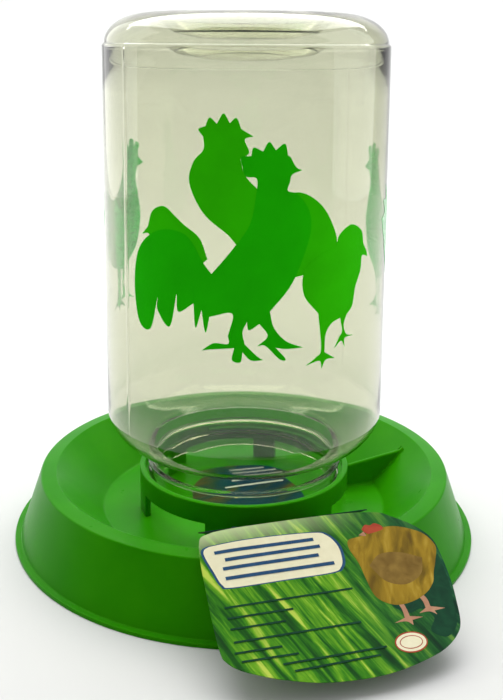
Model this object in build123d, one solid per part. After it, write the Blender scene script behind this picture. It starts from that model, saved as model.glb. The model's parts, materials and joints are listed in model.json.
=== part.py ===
from build123d import *
import math
import os

# Poultry waterer fount: a clear jar stands upside down in a round reversible base tray.
# Millimetres, +Z up, origin at the centre of the tray's underside, front at -Y.

# --- base tray: one moulding of even wall, feed side up
WALL = 2.0                    # wall thickness of the moulding
FLANGE_RADIUS = 127.9         # edge of the flat lip that the tray stands on
FLANGE_HEIGHT = 2.0
SKIRT_FOOT_RADIUS = 124.5     # outside of the skirt where it meets the flange
RIM_OUTER_RADIUS = 113.2      # outside of the rounded top rim
RIM_INNER_RADIUS = 104.9
RIM_HEIGHT = 36.1             # highest line of the tray, along the rim's inner edge
RIM_DROP = 0.8                # the rim's land falls this much to its outer edge
RIM_EDGE_RADIUS = 1.2
FLOOR_RADIUS = 79.1
FLOOR_HEIGHT = 12.1           # top of the trough's flat floor
FLOOR_CORNER = 1.5

# --- the upright collar that takes the jar's neck, standing on six posts
COLLAR_OUTER = 58.8
COLLAR_INNER = 55.6
COLLAR_TOP = 35.2
WINDOW_TOP = 24.0
COLLAR_EDGE = 0.9
POST_COUNT = 6
FIRST_POST_ANGLE = 17.0
POST_SPAN = 14.0              # degrees of the circle that each post takes

# --- the divider fin across the trough, in line with the first post
FIN_THICKNESS = 2.6
FIN_INNER_HEIGHT = 24.0
FIN_OUTER_HEIGHT = 30.6
FIN_OUTER_RADIUS = 99.0

# --- the collar on the underside, used when the tray is turned over for water
WATER_COLLAR_FOOT = 0.8       # stays clear of the surface that the tray stands on
WEEP_COUNT = 4
WEEP_WIDTH = 6.0
WEEP_HEIGHT = 3.0

# --- jar: clear bottle with a wide threaded neck, upside down
JAR_RADIUS = 76.0
JAR_WALL = 0.8
NECK_RADIUS = 52.4
NECK_WALL = 2.0
MOUTH_HEIGHT = 22.0           # the open mouth, inside the collar
LIP_HEIGHT = 2.0              # plain ring at the mouth, below the thread
LIP_RADIUS = 51.9
LIP_GAP = 0.1                 # between the mouth's ring and the neck that turns over it
BEAD_RADIUS = 54.4
BEAD_CENTRE_HEIGHT = 39.0
BEAD_HALF_HEIGHT = 0.9
SHOULDER_FOOT = 48.0          # where the neck opens into the shoulder
SHOULDER_TOP = 70.0           # where the shoulder becomes the straight wall
SHOULDER_POWER = 1.15         # 1 is an ellipse; a little more is fuller
SHOULDER_FLOOR_RADIUS = 50.0
HEEL_SEAM = 268.7             # small step between the straight wall and the heel
HEEL_STEP = 1.2
JAR_TOP = 284.5
STANDING_RADIUS = 50.0        # the ring that the jar stands on when upright
RECESS_RADIUS = 43.0
RECESS_DEPTH = 9.0
DOME_DEPTH = 13.0

# --- threads
THREAD_PITCH = 4.233          # six threads to the inch
THREAD_ROOT_WIDTH = 2.2
THREAD_CREST_WIDTH = 1.0
THREAD_EMBED = 0.15           # how far a ridge's root goes into its wall
JAR_THREAD_CREST = 54.2
JAR_THREAD_TURNS = 1.15
JAR_THREAD_START = 26.6
COLLAR_THREAD_CREST = 53.5
COLLAR_THREAD_TURNS = 0.9
WATER_THREAD_START = 6.6

# --- folded printed card, tucked under the jar and out through the front window
CARD_ANGLE = -73.0            # direction that the card runs out in, about +Z from +X
CARD_THICKNESS = 0.5
HEAD_FAR_END = 38.0           # how far the card reaches past the tray's centre
HEAD_HALF_WIDTH = 31.0
HEAD_OFFSET = 4.0
TONGUE_HALF_WIDTH = 20.5
TONGUE_FOOT = 43.0            # where the card leaves the floor, from the centre
LEG_FLARE_START = 66.0
FOLD_DISTANCE = 95.0          # the fold's upper edge, from the tray's centre
FOLD_HEIGHT = 45.5
FOLD_GAP = 0.3                # each side of the fold line, between the leg and the flap
FLAP_HALF_WIDTH = 58.0
FLAP_OFFSET = 3.0
FLAP_LENGTH = 82.0
FLAP_SLOPE = 27.2             # degrees below level
FLAP_CROWN = 24.0             # depth of the flap's rounded lower end
FLAP_CORNER_LEFT = 3.0
FLAP_CORNER_RIGHT = 22.0

HUGE = 400.0


def turned(section):
    """A solid of revolution about Z from an outline drawn as radius across, height up."""
    return revolve(Plane.XZ * section, Axis.Z, 360)


def block(low_radius, high_radius, low_height, high_height):
    """A rectangle in the radius-height plane, used to cut an outline into its parts."""
    width = high_radius - low_radius
    height = high_height - low_height
    return Pos(low_radius + width / 2, low_height + height / 2) * Rectangle(width, height)


def inner_and_outer(section, radius):
    """An outline cut at a radius and turned: the solid inside it and the solid outside it."""
    inner = turned(section & block(0, radius, 0, HUGE))
    outer = turned(section & block(radius, HUGE, 0, HUGE))
    return inner, outer


def outline(*points):
    """A filled polygon from points given as (radius, height)."""
    return make_face(Polyline(*points, close=True))


def near(points, radius, height):
    """The corner of a sketch nearest to a given radius and height."""
    return min(points, key=lambda v: math.hypot(v.X - radius, v.Y - height))


# ---------------------------------------------------------------- base tray

def skirt_outer_radius(height):
    """Outside of the sloping skirt at a height."""
    foot_to_rim = (height - FLANGE_HEIGHT) / (RIM_HEIGHT - RIM_DROP - FLANGE_HEIGHT)
    return SKIRT_FOOT_RADIUS + (RIM_OUTER_RADIUS - SKIRT_FOOT_RADIUS) * foot_to_rim


def trough_wall_angle():
    """Slope of the trough's inner wall above level."""
    return math.atan2(RIM_HEIGHT - FLOOR_HEIGHT, RIM_INNER_RADIUS - FLOOR_RADIUS)


def tray_outline():
    """Cross-section of the whole tray: floor, sloping wall, rim, skirt and flange in one even wall."""
    slope = trough_wall_angle()
    floor_under = FLOOR_HEIGHT - WALL
    wall_shift = WALL * math.tan(slope / 2)
    rim_low = RIM_HEIGHT - RIM_DROP
    under_rim = rim_low - WALL
    across = WALL / math.sin(slope)
    wall_top_inside = RIM_INNER_RADIUS + across - (RIM_HEIGHT - under_rim) / math.tan(slope)
    skin = WALL * math.hypot(1, (SKIRT_FOOT_RADIUS - RIM_OUTER_RADIUS) / (rim_low - FLANGE_HEIGHT))
    section = outline(
        (0, floor_under),
        (FLOOR_RADIUS + wall_shift, floor_under),
        (wall_top_inside, under_rim),
        (skirt_outer_radius(under_rim) - skin, under_rim),
        (skirt_outer_radius(0) - skin, 0),
        (FLANGE_RADIUS, 0),
        (FLANGE_RADIUS, FLANGE_HEIGHT),
        (SKIRT_FOOT_RADIUS, FLANGE_HEIGHT),
        (RIM_OUTER_RADIUS, rim_low),
        (RIM_INNER_RADIUS, RIM_HEIGHT),
        (FLOOR_RADIUS, FLOOR_HEIGHT),
        (0, FLOOR_HEIGHT),
    )
    for radius, height, size in (
        (RIM_OUTER_RADIUS, rim_low, RIM_EDGE_RADIUS),
        (RIM_INNER_RADIUS, RIM_HEIGHT, RIM_EDGE_RADIUS / 2),
        (FLANGE_RADIUS, FLANGE_HEIGHT, WALL / 4),
        (SKIRT_FOOT_RADIUS, FLANGE_HEIGHT, WALL / 4),
        (FLOOR_RADIUS, FLOOR_HEIGHT, FLOOR_CORNER),
    ):
        section = fillet(near(section.vertices(), radius, height), size)
    return section


def tray_parts():
    """The tray's outline cut into the functional parts of the moulding."""
    section = tray_outline()
    split_radius = FLOOR_RADIUS - FLOOR_CORNER
    rim_foot = RIM_HEIGHT - RIM_DROP - WALL - RIM_EDGE_RADIUS
    wall_end = RIM_INNER_RADIUS - RIM_EDGE_RADIUS
    return {
        "trough_floor": turned(section & block(0, split_radius, 0, HUGE)),
        "trough_wall": turned(section & block(split_radius, wall_end, 0, HUGE)),
        "top_rim": turned(section & block(wall_end, HUGE, rim_foot, HUGE)),
        "outer_skirt": turned(section & block(wall_end, HUGE, FLANGE_HEIGHT, rim_foot)),
        "foot_flange": turned(section & block(wall_end, HUGE, 0, FLANGE_HEIGHT)),
    }


def collar_ring():
    """The collar's closed band, above the windows."""
    section = block(COLLAR_INNER, COLLAR_OUTER, WINDOW_TOP, COLLAR_TOP)
    top_corners = section.vertices().sort_by(Axis.Y)[-2:]
    return turned(fillet(top_corners, COLLAR_EDGE))


def arc_wall(inner, outer, foot, top, middle_angle, span):
    """A stretch of cylindrical wall, centred on an angle."""
    section = Plane.XZ * block(inner, outer, foot, top)
    start = Rot(0, 0, middle_angle - span / 2)
    return start * revolve(section, Axis.Z, span)


def collar_posts():
    """Six posts between the trough floor and the collar's band."""
    step = 360 / POST_COUNT
    return Compound(children=[
        arc_wall(COLLAR_INNER, COLLAR_OUTER, FLOOR_HEIGHT, WINDOW_TOP,
                 FIRST_POST_ANGLE + step * number, POST_SPAN)
        for number in range(POST_COUNT)
    ])


def trough_space():
    """The open space of the trough, between the collar and the sloping wall."""
    slope = trough_wall_angle()
    corner = FLOOR_CORNER * math.tan(slope / 2)
    wall_foot = FLOOR_RADIUS + corner * math.cos(slope), FLOOR_HEIGHT + corner * math.sin(slope)
    return turned(outline(
        (COLLAR_OUTER, FLOOR_HEIGHT),
        (FLOOR_RADIUS - corner, FLOOR_HEIGHT),
        wall_foot,
        (RIM_INNER_RADIUS, RIM_HEIGHT),
        (COLLAR_OUTER, RIM_HEIGHT),
    ))


def divider_fin():
    """Upright fin across the trough, from the collar to the sloping wall."""
    side = outline(
        (COLLAR_OUTER - WALL, FLOOR_HEIGHT),
        (FIN_OUTER_RADIUS + WALL, FLOOR_HEIGHT),
        (FIN_OUTER_RADIUS + WALL, FIN_OUTER_HEIGHT),
        (COLLAR_OUTER - WALL, FIN_INNER_HEIGHT),
    )
    plate = extrude(Plane.XZ * side, FIN_THICKNESS / 2, both=True)
    return Rot(0, 0, FIRST_POST_ANGLE) * (plate & trough_space())


def water_collar():
    """Low collar on the underside, with weep notches where it meets the plateau."""
    root = FLOOR_HEIGHT - WALL
    ring = turned(block(COLLAR_INNER, COLLAR_OUTER, WATER_COLLAR_FOOT, root))
    for number in range(WEEP_COUNT):
        notch = Pos((COLLAR_INNER + COLLAR_OUTER) / 2, 0, root - WEEP_HEIGHT / 2)
        angle = 360 / WEEP_COUNT * number + FIRST_POST_ANGLE
        ring -= Rot(0, 0, angle) * notch * Box(WALL * 4, WEEP_WIDTH, WEEP_HEIGHT)
    return ring


# ---------------------------------------------------------------- threads

def thread_ridge(root_radius, crest_radius, start_height, turns, start_angle):
    """A right-handed screw ridge that stands from root_radius to crest_radius."""
    outwards = 1 if crest_radius > root_radius else -1
    path = Helix(THREAD_PITCH, THREAD_PITCH * turns, root_radius)
    section_plane = Plane(origin=path @ 0, x_dir=(1, 0, 0), z_dir=path % 0)
    height = abs(crest_radius - root_radius)
    foot = THREAD_ROOT_WIDTH / 2
    crest = THREAD_CREST_WIDTH / 2
    section = outline(
        (-outwards * THREAD_EMBED, -foot),
        (outwards * height, -crest),
        (outwards * height, crest),
        (-outwards * THREAD_EMBED, foot),
    )
    ridge = sweep(section_plane * section, path=path, is_frenet=True)
    return Pos(0, 0, start_height) * Rot(0, 0, start_angle) * ridge


def jar_thread():
    """The thread moulded on the jar's neck."""
    return thread_ridge(NECK_RADIUS, JAR_THREAD_CREST, JAR_THREAD_START, JAR_THREAD_TURNS, 150)


def collar_thread():
    """The collar's inner thread, half a pitch above the jar's."""
    above = THREAD_PITCH / 2
    start = JAR_THREAD_START + above
    return thread_ridge(COLLAR_INNER, COLLAR_THREAD_CREST, start, COLLAR_THREAD_TURNS, 150)


def water_thread():
    """The same inner thread on the underside's collar, facing down."""
    ridge = thread_ridge(COLLAR_INNER, COLLAR_THREAD_CREST, 0, COLLAR_THREAD_TURNS, 0)
    return Pos(0, 0, WATER_THREAD_START) * Rot(180, 0, 0) * ridge


# ---------------------------------------------------------------- jar

def shoulder_point(turn, inset):
    """A point on the shoulder's curve: turn 0 is at the straight wall, 1 at the neck."""
    angle = turn * math.pi / 2
    wide = (JAR_RADIUS - SHOULDER_FLOOR_RADIUS) * math.cos(angle) ** SHOULDER_POWER
    deep = (SHOULDER_TOP - SHOULDER_FOOT) * math.sin(angle) ** SHOULDER_POWER
    radius = SHOULDER_FLOOR_RADIUS + wide - inset * math.cos(angle)
    height = SHOULDER_TOP - deep + inset * math.sin(angle)
    return radius, height


def shoulder_curve(inset):
    """The shoulder's smooth curve, from the straight wall down to the level stretch at the neck."""
    count = 8
    return Spline(*[shoulder_point(number / count, inset) for number in range(count)])


def jar_shoulder():
    """The rounded shoulder between the straight wall and the neck, in two bands."""
    outer = shoulder_curve(0)
    inner = shoulder_curve(JAR_WALL)
    inner_neck = NECK_RADIUS - NECK_WALL
    floor = SHOULDER_FOOT
    edge = outer @ 1
    wire = Wire([
        outer,
        Line(edge, (NECK_RADIUS, floor)),
        Line((NECK_RADIUS, floor), (inner_neck, floor)),
        Line((inner_neck, floor), (inner_neck, (inner @ 1).Y)),
        Line((inner_neck, (inner @ 1).Y), inner @ 1),
        inner,
        Line(inner @ 0, outer @ 0),
    ])
    bands_meet, _ = shoulder_point(0.5, 0)
    return inner_and_outer(make_face(wire), bands_meet)


def jar_wall():
    """The straight cylindrical wall."""
    return turned(block(JAR_RADIUS - JAR_WALL, JAR_RADIUS, SHOULDER_TOP, HEEL_SEAM - HEEL_STEP))


def heel_ellipse(inset, low_height):
    """The heel's quarter ellipse, from the seam up to the standing ring."""
    return EllipticalCenterArc(
        (STANDING_RADIUS, low_height),
        JAR_RADIUS - HEEL_STEP - STANDING_RADIUS - inset,
        JAR_TOP - low_height - inset,
        arc_size=90,
    )


def jar_heel():
    """The rounded heel at the top of the upturned jar, stepped in from the wall, in two bands."""
    outer = heel_ellipse(0, HEEL_SEAM)
    inner = heel_ellipse(JAR_WALL + HEEL_STEP / 2, HEEL_SEAM)
    wire = Wire([outer, Line(outer @ 1, inner @ 1), inner, Line(inner @ 0, outer @ 0)])
    bands_meet = (outer @ 0.5).X
    return inner_and_outer(make_face(wire), bands_meet)


def jar_heel_seam():
    """The small step where the heel meets the straight wall."""
    inside = JAR_RADIUS - JAR_WALL - HEEL_STEP
    return turned(block(inside, JAR_RADIUS, HEEL_SEAM - HEEL_STEP, HEEL_SEAM))


def jar_recess():
    """The pushed-in middle of the jar's bottom."""
    skin = JAR_WALL + HEEL_STEP / 2
    ring_top = JAR_TOP
    low = JAR_TOP - RECESS_DEPTH
    middle = JAR_TOP - DOME_DEPTH
    section = outline(
        (STANDING_RADIUS, ring_top),
        (STANDING_RADIUS, ring_top - skin),
        (RECESS_RADIUS, low - skin),
        (0, middle - skin),
        (0, middle),
        (RECESS_RADIUS, low),
    )
    for corner in (RECESS_RADIUS, low), (RECESS_RADIUS, low - skin):
        section = fillet(near(section.vertices(), *corner), RECESS_DEPTH / 3)
    return turned(section)


def jar_neck():
    """The neck, from above the mouth's ring to the shoulder."""
    foot = MOUTH_HEIGHT + LIP_HEIGHT + LIP_GAP
    return turned(block(NECK_RADIUS - NECK_WALL, NECK_RADIUS, foot, SHOULDER_FOOT))


def transfer_bead():
    """The ring around the neck, just above the collar."""
    half = BEAD_HALF_HEIGHT
    section = outline(
        (NECK_RADIUS, BEAD_CENTRE_HEIGHT - half * 1.5),
        (BEAD_RADIUS, BEAD_CENTRE_HEIGHT - half / 2),
        (BEAD_RADIUS, BEAD_CENTRE_HEIGHT + half / 2),
        (NECK_RADIUS, BEAD_CENTRE_HEIGHT + half * 1.5),
    )
    return turned(section)


def mouth_lip():
    """The plain ring at the open mouth."""
    section = block(NECK_RADIUS - NECK_WALL, LIP_RADIUS, MOUTH_HEIGHT, MOUTH_HEIGHT + LIP_HEIGHT)
    low_corners = section.vertices().sort_by(Axis.Y)[:2]
    return turned(fillet(low_corners, NECK_WALL / 4))


# ---------------------------------------------------------------- card

def placed_card(shape):
    """Turns a card part, drawn running along +X, to its direction."""
    return Rot(0, 0, CARD_ANGLE) * shape


def card_head():
    """The rounded end that lies on the floor under the jar's mouth."""
    corner = HEAD_HALF_WIDTH * 0.8
    body = Pos((TONGUE_FOOT / 2 - HEAD_FAR_END) / 2, HEAD_OFFSET) * RectangleRounded(
        HEAD_FAR_END + TONGUE_FOOT / 2, HEAD_HALF_WIDTH * 2, corner)
    neck = Pos(TONGUE_FOOT / 2, 0) * Rectangle(TONGUE_FOOT, TONGUE_HALF_WIDTH * 2)
    sheet = extrude(Pos(0, 0, FLOOR_HEIGHT) * (body + neck), CARD_THICKNESS)
    return placed_card(sheet)


def card_leg():
    """The sloping stretch that leaves through the front window and widens to the fold."""
    foot_height = FLOOR_HEIGHT + CARD_THICKNESS * 2
    run = FOLD_DISTANCE - TONGUE_FOOT
    slope = math.atan2(FOLD_HEIGHT - foot_height, run)
    length = run / math.cos(slope) - FOLD_GAP
    flare = (LEG_FLARE_START - TONGUE_FOOT) / math.cos(slope)
    left = FLAP_OFFSET - FLAP_HALF_WIDTH
    right = FLAP_OFFSET + FLAP_HALF_WIDTH - FLAP_CORNER_RIGHT
    sheet = outline(
        (0, -TONGUE_HALF_WIDTH),
        (flare, -TONGUE_HALF_WIDTH),
        (length, left),
        (length, right),
        (flare, TONGUE_HALF_WIDTH),
        (0, TONGUE_HALF_WIDTH),
    )
    plate = extrude(sheet, -CARD_THICKNESS)
    foot = Pos(TONGUE_FOOT, 0, foot_height)
    return placed_card(foot * Rot(0, -math.degrees(slope), 0) * plate)


def flap_outline():
    """The flap's outline: a straight fold, straight sides and a rounded lower end."""
    left = FLAP_OFFSET - FLAP_HALF_WIDTH
    right = FLAP_OFFSET + FLAP_HALF_WIDTH
    side_end = FLAP_LENGTH - FLAP_CROWN
    crown = Pos(side_end, FLAP_OFFSET) * Ellipse(FLAP_CROWN, FLAP_HALF_WIDTH)
    sides = Pos(side_end / 2, FLAP_OFFSET) * Rectangle(side_end, FLAP_HALF_WIDTH * 2)
    sides = fillet(near(sides.vertices(), 0, left), FLAP_CORNER_LEFT)
    sides = fillet(near(sides.vertices(), 0, right), FLAP_CORNER_RIGHT)
    return sides + crown


def card_flap():
    """The flap that hangs over the rim from the fold."""
    plate = extrude(Pos(FOLD_GAP, 0) * flap_outline(), -CARD_THICKNESS)
    fold = Pos(FOLD_DISTANCE, 0, FOLD_HEIGHT)
    return placed_card(fold * Rot(0, FLAP_SLOPE, 0) * plate)


# ---------------------------------------------------------------- all parts

def all_parts():
    """Every node's name and its shape."""
    heel_inner, heel_outer = jar_heel()
    shoulder_inner, shoulder_outer = jar_shoulder()
    return tray_parts() | {
        "feed_collar": collar_ring(),
        "collar_posts": collar_posts(),
        "collar_thread": collar_thread(),
        "divider_fin": divider_fin(),
        "water_collar": water_collar(),
        "water_collar_thread": water_thread(),
        "jar_wall": jar_wall(),
        "jar_heel_inner": heel_inner,
        "jar_heel_outer": heel_outer,
        "jar_heel_seam": jar_heel_seam(),
        "jar_recess": jar_recess(),
        "jar_shoulder_inner": shoulder_inner,
        "jar_shoulder_outer": shoulder_outer,
        "jar_neck": jar_neck(),
        "jar_neck_bead": transfer_bead(),
        "jar_thread": jar_thread(),
        "jar_mouth_lip": mouth_lip(),
        "card_head": card_head(),
        "card_leg": card_leg(),
        "card_flap": card_flap(),
    }


os.makedirs("parts", exist_ok=True)
for name, shape in all_parts().items():
    export_step(shape, f"parts/{name}.step")
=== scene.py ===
import json
import math

import bmesh
import bpy
from mathutils import Matrix, Vector


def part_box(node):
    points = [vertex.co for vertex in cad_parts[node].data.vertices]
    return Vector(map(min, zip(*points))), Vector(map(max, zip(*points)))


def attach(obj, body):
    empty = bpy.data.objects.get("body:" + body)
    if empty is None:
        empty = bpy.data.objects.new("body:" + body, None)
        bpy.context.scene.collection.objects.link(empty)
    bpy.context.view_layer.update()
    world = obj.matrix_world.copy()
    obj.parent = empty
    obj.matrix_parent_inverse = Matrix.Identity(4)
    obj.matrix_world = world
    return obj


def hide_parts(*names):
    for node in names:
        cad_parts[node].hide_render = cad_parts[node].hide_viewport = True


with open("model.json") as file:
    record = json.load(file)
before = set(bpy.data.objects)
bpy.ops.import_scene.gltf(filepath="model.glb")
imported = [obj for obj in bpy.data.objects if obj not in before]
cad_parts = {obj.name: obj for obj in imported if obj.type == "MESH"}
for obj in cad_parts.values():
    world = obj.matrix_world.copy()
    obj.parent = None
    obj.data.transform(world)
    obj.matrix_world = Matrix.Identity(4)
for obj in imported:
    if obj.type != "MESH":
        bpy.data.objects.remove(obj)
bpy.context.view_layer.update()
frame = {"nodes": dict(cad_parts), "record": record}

# A clear jar stands upside down in a round green tray, with a folded printed card.
# Metres, +Z up, the front at -Y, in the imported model's frame.
MM = 0.001


def outer_radius(node):
    """The outer radius of a round CAD node."""
    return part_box(node)[1].x


def foot(node):
    """The lowest height of a CAD node."""
    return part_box(node)[0].z


def top(node):
    """The highest height of a CAD node."""
    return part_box(node)[1].z


# --- sizes read from the frame
FLANGE_RADIUS = outer_radius("foot_flange")
FLANGE_TOP = top("foot_flange")
RIM_TOP = top("top_rim")
FLOOR_TOP = top("trough_floor")
FLOOR_UNDER = foot("trough_floor")
WALL = FLOOR_TOP - FLOOR_UNDER
COLLAR_RADIUS = outer_radius("feed_collar")
COLLAR_TOP = top("feed_collar")
WINDOW_TOP = foot("feed_collar")
JAR_RADIUS = outer_radius("jar_wall")
SHOULDER_TOP = foot("jar_wall")
SHOULDER_FOOT = foot("jar_shoulder_inner")
HEEL_SEAM = top("jar_heel_seam")
HEEL_RADIUS = outer_radius("jar_heel_outer")
JAR_TOP = top("jar_heel_inner")
RECESS_LOW = foot("jar_recess")
NECK_RADIUS = outer_radius("jar_neck")
BEAD_RADIUS = outer_radius("jar_neck_bead")
BEAD_HEIGHT = (foot("jar_neck_bead") + top("jar_neck_bead")) / 2
MOUTH_HEIGHT = foot("jar_mouth_lip")
THREAD_RADIUS = outer_radius("jar_thread")
THREAD_FOOT = foot("jar_thread")

# --- tray sizes that the frame's boxes don't give
RIM_OUTER_RADIUS = 113.2 * MM
RIM_INNER_RADIUS = 104.9 * MM
RIM_DROP = 0.8 * MM
SKIRT_FOOT_RADIUS = 124.5 * MM
FLOOR_RADIUS = 79.1 * MM
COLLAR_WALL = 3.2 * MM
POST_COUNT = 6
POST_STEPS = 4
WINDOW_STEPS = 12
FIRST_POST = math.radians(17)
POST_SPAN = math.radians(14)
FIN_THICKNESS = 2.6 * MM
FIN_INNER_TOP = 24.0 * MM
FIN_OUTER_TOP = 30.6 * MM
FIN_OUTER_RADIUS = 99.0 * MM
FIN_NOSE = 1.4 * MM               # how high the fin still is at its outer end
EMBED = 0.3 * MM                  # how far the collar and the fin reach into the floor

# --- jar sizes that the frame's boxes don't give
JAR_WALL = 0.8 * MM
BOTTOM_WALL = 1.5 * JAR_WALL
NECK_WALL = 2.0 * MM
NECK_FILLET = 2.5 * MM            # how far from the neck the shoulder's curve ends
SHOULDER_FLOOR_RADIUS = 50 * MM
SHOULDER_POWER = 1.15
STANDING_RADIUS = 50 * MM
RECESS_LIFT = 1.4 * MM            # the recess's outer face above the CAD recess's lowest height
SEAM_DEPTH = 1.8 * MM             # the stretch under the seam that leads to the straight wall
BEAD_HALF_WIDTH = 1.35 * MM
BEAD_ROUNDNESS = 0.5              # 0.5 is a round crest, and more is a sharper one
THREAD_PITCH = 4.233 * MM
THREAD_TURNS = 1.15
THREAD_START_ANGLE = math.radians(150)
THREAD_CREST = 1.1 * MM           # the first crest above the thread's foot
THREAD_HALF_WIDTH = 1.15 * MM
THREAD_ROUNDNESS = 0.6
THREAD_FADE = 0.06                # the share of a turn over which each end fades
PARTING_ANGLES = math.radians(218.5), math.radians(38.5)
PARTING_HALF_WIDTH = math.radians(0.12)
PARTING_SIDE = math.radians(0.3)  # the close angles that end the raised line on each side
PARTING_STAND = 0.16 * MM
NEAR = 0.01 * MM                  # closer than this, two radii are the same

# --- print on the jar
INK_IOR = 1.12
INK_DARKEST = 0.86                # the ink's darkest patches, as a share of its colour
INK_FILM = 0.05 * MM
UNDER_PRINT = 0.10 * MM           # how far the lower layer stands off the wall
OVER_PRINT = 0.18 * MM            # and the upper layer
STRIP = 1.5 * MM                  # the width of the strips that follow the wall's curve

# --- the card
CARD_DIRECTION = math.radians(-73)
CARD_THICKNESS = 0.45 * MM
FOLD_DISTANCE = 95.0 * MM
FOLD_HEIGHT = 45.5 * MM
TONGUE_FOOT = 43.0 * MM
LEG_SAG = 1.5 * MM                # how far the leg's middle hangs under a straight line
FLAP_SLOPE = math.radians(27.2)
FLAP_LENGTH = 82.0 * MM
FLAP_SAG = 0.9 * MM
CORNER_START = 30 * MM            # how far left the flap's left corner starts to droop
CORNER_REACH = 20 * MM            # this much farther left, it hangs by the whole droop
CORNER_DROOP = 1.6 * MM
CORNER_FADE = 12 * MM             # how far down the flap the droop dies away
CARD_FILM = 0.02 * MM
FIRST_FILM = 0.03 * MM            # how high the flap's lowest print stands over the card
FILM_STEP = 0.012 * MM            # from each print to the next one over it
HEAD_FILM = 0.05 * MM             # how high the head's print stands over the card
PANEL_BAR, GRASS_BAR, HEAD_BAR = 1.7, 0.9, 1.6    # the bars' heights in mm
SEAL = 28.7, 69.6                 # the seal's middle in mm, across and down the flap


# ---------------------------------------------------------------- mesh helpers

def new_piece(name, mesh, material):
    """A mesh as an object in the scene, with its material."""
    piece = bpy.data.objects.new(name, mesh)
    bpy.context.scene.collection.objects.link(piece)
    mesh.materials.append(material)
    return piece


def new_mesh(name, vertices, faces, material, sharp=35):
    """A smooth-shaded mesh object, with edges over the given angle in degrees kept sharp."""
    mesh = bpy.data.meshes.new(name)
    mesh.from_pydata(vertices, [], faces)
    piece = new_piece(name, mesh, material)
    finish_mesh(piece, sharp)
    return piece


def smooth_shading(piece, sharp):
    """Smooth shading, with edges over the given angle in degrees kept sharp."""
    piece.data.shade_smooth()
    piece.data.set_sharp_from_angle(angle=math.radians(sharp))


def finish_mesh(piece, sharp=35):
    """Outward normals, smooth shading and sharp edges."""
    turned = bmesh.new()
    turned.from_mesh(piece.data)
    bmesh.ops.recalc_face_normals(turned, faces=turned.faces)
    turned.to_mesh(piece.data)
    turned.free()
    smooth_shading(piece, sharp)


def apply_modifiers(piece):
    """Keeps the mesh that a piece's modifiers give."""
    graph = bpy.context.evaluated_depsgraph_get()
    mesh = bpy.data.meshes.new_from_object(piece.evaluated_get(graph))
    piece.modifiers.clear()
    piece.data = mesh


def thickened(name, sheet, material, thickness, offset):
    """A sheet without thickness as a thin piece: offset 0 thickens both sides, -1 the back alone."""
    mesh = bpy.data.meshes.new(name)
    sheet.to_mesh(mesh)
    sheet.free()
    piece = new_piece(name, mesh, material)
    thick = piece.modifiers.new("sheet", "SOLIDIFY")
    thick.thickness = thickness
    thick.offset = offset
    apply_modifiers(piece)
    return piece


def rounded(corners, steps=5):
    """An open outline from (radius, height, corner radius), with each corner turned to an arc."""
    points = []
    for number, (x, z, size) in enumerate(corners):
        here = Vector((x, z))
        if size == 0 or number in (0, len(corners) - 1):
            points.append(tuple(here))
            continue
        back = (Vector(corners[number - 1][:2]) - here).normalized()
        ahead = (Vector(corners[number + 1][:2]) - here).normalized()
        half = back.angle(ahead) / 2
        reach = size / math.tan(half)
        centre = here + (back + ahead).normalized() * (size / math.sin(half))
        start = here + back * reach - centre
        end = here + ahead * reach - centre
        sweep = start.angle_signed(end)
        for step in range(steps + 1):
            turn = Matrix.Rotation(-sweep * step / steps, 2)
            points.append(tuple(centre + turn @ start))
    return points


def lathe_mesh(profile, angles, bump=None):
    """Vertices and faces of an outline turned about Z, with ends on the axis closed to a point."""
    vertices = []
    rows = []
    for radius, height in profile:
        if radius == 0:
            rows.append([len(vertices)])
            vertices.append((0, 0, height))
            continue
        rows.append(range(len(vertices), len(vertices) + len(angles)))
        for angle in angles:
            out = radius + (bump(angle, radius, height) if bump else 0)
            vertices.append((out * math.cos(angle), out * math.sin(angle), height))
    faces = []
    for low, high in zip(rows, rows[1:]):
        for number in range(len(angles)):
            after = (number + 1) % len(angles)
            if len(low) == 1:
                faces.append((low[0], high[after], high[number]))
            elif len(high) == 1:
                faces.append((low[number], low[after], high[0]))
            else:
                faces.append((low[number], low[after], high[after], high[number]))
    return vertices, faces


def even_angles(count):
    """Angles evenly round the circle."""
    return [math.tau * number / count for number in range(count)]


def fill_outline(sheet, points):
    """Fills a flat closed outline with triangles, hollows in its edge left open."""
    loop = [sheet.verts.new(point) for point in points]
    edges = [sheet.edges.new((a, b)) for a, b in zip(loop, loop[1:] + loop[:1])]
    bmesh.ops.triangle_fill(sheet, edges=edges, use_beauty=True, use_dissolve=False)


def extent(sheet, axis):
    """A sheet's lowest and highest place along an axis."""
    places = [vertex.co[axis] for vertex in sheet.verts]
    return min(places), max(places)


def cut_sheet(sheet, axis, places):
    """Cuts a sheet straight across an axis at each of the given places."""
    way = Vector((0, 0, 0))
    way[axis] = 1
    for place in places:
        everything = sheet.verts[:] + sheet.edges[:] + sheet.faces[:]
        bmesh.ops.bisect_plane(sheet, geom=everything, plane_co=way * place, plane_no=way)


def smooth_outline(strokes, steps=7):
    """A closed outline from strokes of points: a Catmull-Rom curve along each, sharp where two meet."""
    points = []
    for stroke in strokes:
        spread = [Vector(point) for point in stroke]
        padded = [spread[0] * 2 - spread[1], *spread, spread[-1] * 2 - spread[-2]]
        for a, b, c, d in zip(padded, padded[1:], padded[2:], padded[3:]):
            for step in range(steps):
                t = step / steps
                points.append(0.5 * (2 * b + (c - a) * t + (2 * a - 5 * b + 4 * c - d) * t * t
                                     + (3 * b - a - 3 * c + d) * t ** 3))
    return points


# ---------------------------------------------------------------- materials

MIX_START, MIX_END, MIX_COLOUR = 6, 7, 2    # the colour sockets of a mix node, which share their names


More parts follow.
